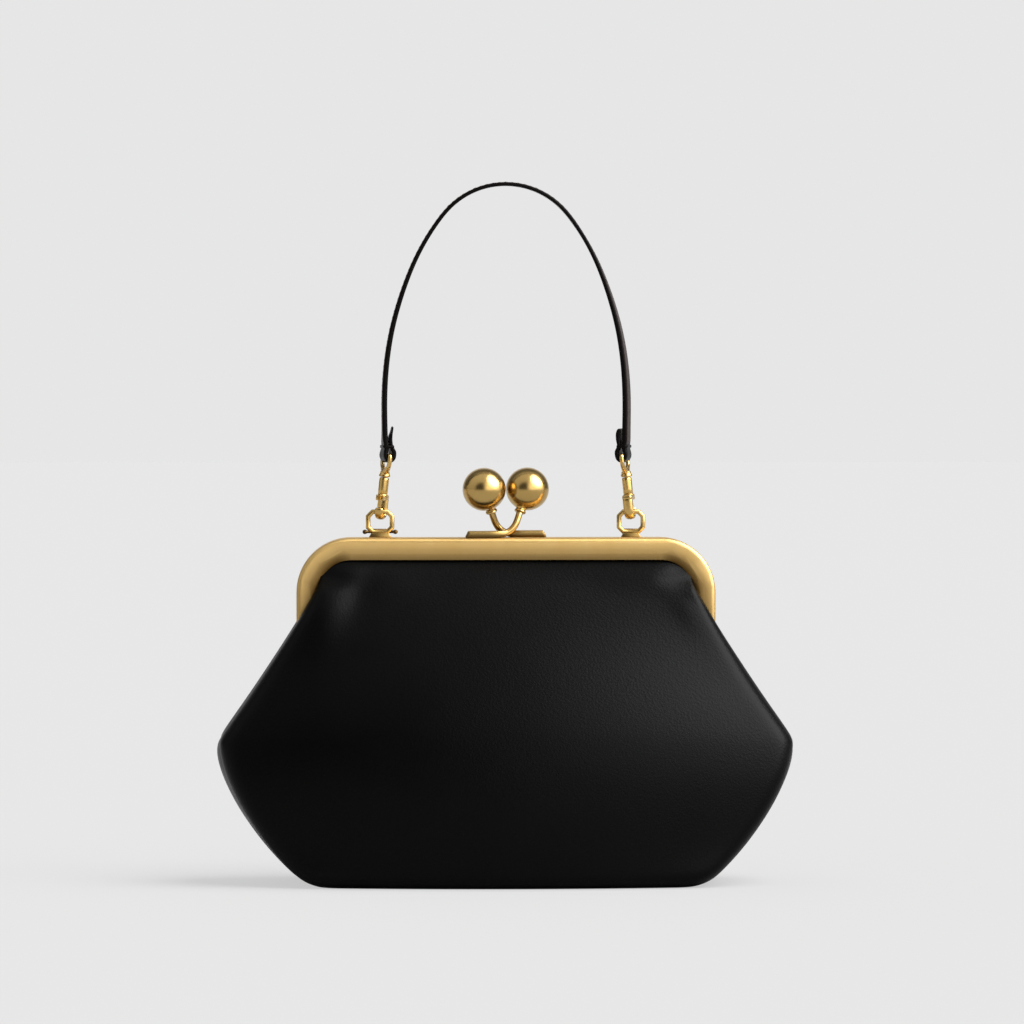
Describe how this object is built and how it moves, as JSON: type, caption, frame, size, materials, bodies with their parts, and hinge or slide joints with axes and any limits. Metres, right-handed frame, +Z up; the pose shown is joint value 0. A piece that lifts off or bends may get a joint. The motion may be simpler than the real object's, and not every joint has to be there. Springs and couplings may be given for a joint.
{
  "type": "kiss lock frame purse",
  "caption": "Black leather purse on a hinged brass frame with a kiss lock ball clasp and a short strap on swivel hooks",
  "frame": {"origin": "centre of the base on the surface that the purse stands on", "axes": "+X along the frame to the viewer's right, -Y towards the viewer, +Z up to the strap"},
  "size_m": [0.2314, 0.082, 0.2817],
  "materials": {
    "bag_leather": "satin",
    "strap_leather": "satin",
    "lining_cloth": "matte",
    "base_board": "matte",
    "frame_brass": "satin",
    "clasp_brass": "polished",
    "fitting_brass": "satin",
    "spring_steel": "satin"
  },
  "bodies": {
    "bag_body": {"front_panel": "bag_leather", "back_panel": "bag_leather", "gusset_left": "bag_leather", "gusset_right": "bag_leather", "base_panel": "bag_leather", "base_board": "base_board", "body_lining": "lining_cloth"},
    "front_frame": {"front_frame": "frame_brass", "front_clasp_arm": "clasp_brass", "front_clasp_ball": "clasp_brass", "front_upper_panel": "bag_leather", "front_upper_lining": "lining_cloth", "hinge_rivet_left": "frame_brass", "hinge_rivet_right": "frame_brass"},
    "back_frame": {"back_frame": "frame_brass", "back_clasp_arm": "clasp_brass", "back_clasp_ball": "clasp_brass", "back_upper_panel": "bag_leather", "back_upper_lining": "lining_cloth", "ring_lug_left": "fitting_brass", "ring_lug_right": "fitting_brass"},
    "left_ring": {"ring_left": "fitting_brass"},
    "right_ring": {"ring_right": "fitting_brass"},
    "handle": {"strap": "strap_leather", "strap_keeper_left": "strap_leather", "strap_keeper_right": "strap_leather", "hook_eye_left": "fitting_brass", "hook_eye_right": "fitting_brass"},
    "left_hook": {"hook_body_left": "fitting_brass", "gate_pin_left": "fitting_brass", "gate_spring_left": "spring_steel"},
    "right_hook": {"hook_body_right": "fitting_brass", "gate_pin_right": "fitting_brass", "gate_spring_right": "spring_steel"},
    "left_gate": {"hook_gate_left": "fitting_brass"},
    "right_gate": {"hook_gate_right": "fitting_brass"}
  },
  "joints": [
    {"name": "front_frame_swing", "type": "hinge", "parent": "bag_body", "child": "front_frame", "pos_m": [0, 0, 0.094], "axis": [1, 0, 0], "range_deg": [0, 36]},
    {"name": "back_frame_swing", "type": "hinge", "parent": "bag_body", "child": "back_frame", "pos_m": [0, 0, 0.094], "axis": [1, 0, 0], "range_deg": [-36, 0]},
    {"name": "left_ring_swing", "type": "hinge", "parent": "back_frame", "child": "left_ring", "pos_m": [-0.0504, 0.00345, 0.14095], "axis": [1, 0, 0], "range_deg": [-75, 75]},
    {"name": "right_ring_swing", "type": "hinge", "parent": "back_frame", "child": "right_ring", "pos_m": [0.0504, 0.00345, 0.14095], "axis": [1, 0, 0], "range_deg": [-75, 75]},
    {"name": "handle_swing", "type": "hinge", "parent": "left_ring", "child": "handle", "pos_m": [-0.0504, 0.00345, 0.14905], "axis": [1, 0, 0], "range_deg": [-45, 45]},
    {"name": "left_hook_swivel", "type": "hinge", "parent": "handle", "child": "left_hook", "pos_m": [-0.0504, 0.00345, 0.14905], "axis": [0.1357, 0, 0.9907], "range_deg": [-12, 40]},
    {"name": "left_gate_press", "type": "hinge", "parent": "left_hook", "child": "left_gate", "pos_m": [-0.05031, 0.00094, 0.15469], "axis": [0.957, -0.2588, -0.1311], "range_deg": [0, 24], "stiffness_Nm_per_rad": 0.004, "springref_deg": -20.05, "deforming": ["gate_spring_left"]},
    {"name": "right_hook_swivel", "type": "hinge", "parent": "handle", "child": "right_hook", "pos_m": [0.0504, 0.00345, 0.14905], "axis": [-0.1357, 0, 0.9907], "range_deg": [-12, 40]},
    {"name": "right_gate_press", "type": "hinge", "parent": "right_hook", "child": "right_gate", "pos_m": [0.05031, 0.00596, 0.15469], "axis": [-0.957, 0.2588, -0.1311], "range_deg": [0, 24], "stiffness_Nm_per_rad": 0.004, "springref_deg": -20.05, "deforming": ["gate_spring_right"]}
  ],
  "couplings": [
    {"joint": "back_frame_swing", "follows": "front_frame_swing", "ratio": -1},
    {"joint": "right_ring_swing", "follows": "left_ring_swing", "ratio": 1}
  ]
}
